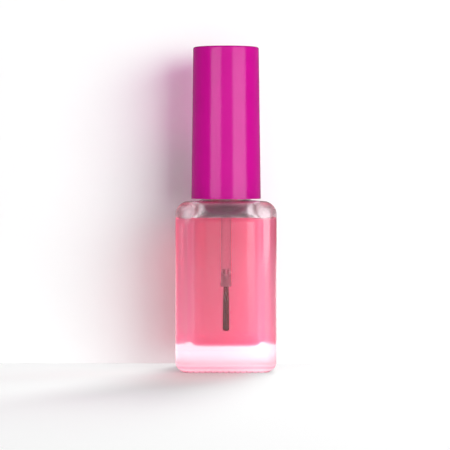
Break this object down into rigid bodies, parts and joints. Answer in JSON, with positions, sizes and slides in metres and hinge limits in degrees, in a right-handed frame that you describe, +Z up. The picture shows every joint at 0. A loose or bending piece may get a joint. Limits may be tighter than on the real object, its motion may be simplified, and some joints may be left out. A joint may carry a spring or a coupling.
{
  "type": "cuticle oil bottle",
  "caption": "Square glass bottle of oil with a threaded neck and a tall tapered screw cap that carries a brush.",
  "frame": {"origin": "centre of the bottle's base, on the plane it stands on", "axes": "+Z up along the bottle, neck and cap; the front panel faces -Y"},
  "size_m": [0.0274, 0.0274, 0.089],
  "materials": {
    "glass": "clear polished",
    "oil": "clear pink liquid",
    "cap_plastic": "satin",
    "inner_plastic": "moulded",
    "liner_foam": "closed foam",
    "stem_plastic": "translucent",
    "anchor_metal": "drawn flat wire",
    "bristle_nylon": "fine filament"
  },
  "bodies": {
    "bottle": {"glass_bottle": "glass", "oil": "oil"},
    "liner": {"sealing_liner": "liner_foam"},
    "brush_rod": {"brush_stem": "stem_plastic"},
    "cap": {"overcap": "cap_plastic", "inner_cap": "inner_plastic", "bristle_anchor": "anchor_metal", "bristles": "bristle_nylon"}
  },
  "joints": [
    {"name": "closure_pull", "type": "slide", "parent": "bottle", "child": "liner", "axis": [0, 0, 1], "range_m": [0, 0.06]},
    {"name": "closure_rise", "type": "slide", "parent": "liner", "child": "brush_rod", "axis": [0, 0, 1], "range_m": [0, 0.0036]},
    {"name": "closure_turn", "type": "hinge", "parent": "brush_rod", "child": "cap", "pos_m": [0, 0, 0.0608], "axis": [0, 0, 1], "range_deg": [0, 540]}
  ],
  "couplings": [
    {"joint": "closure_rise", "follows": "closure_turn", "m_per_rad": 0.00038197}
  ]
}
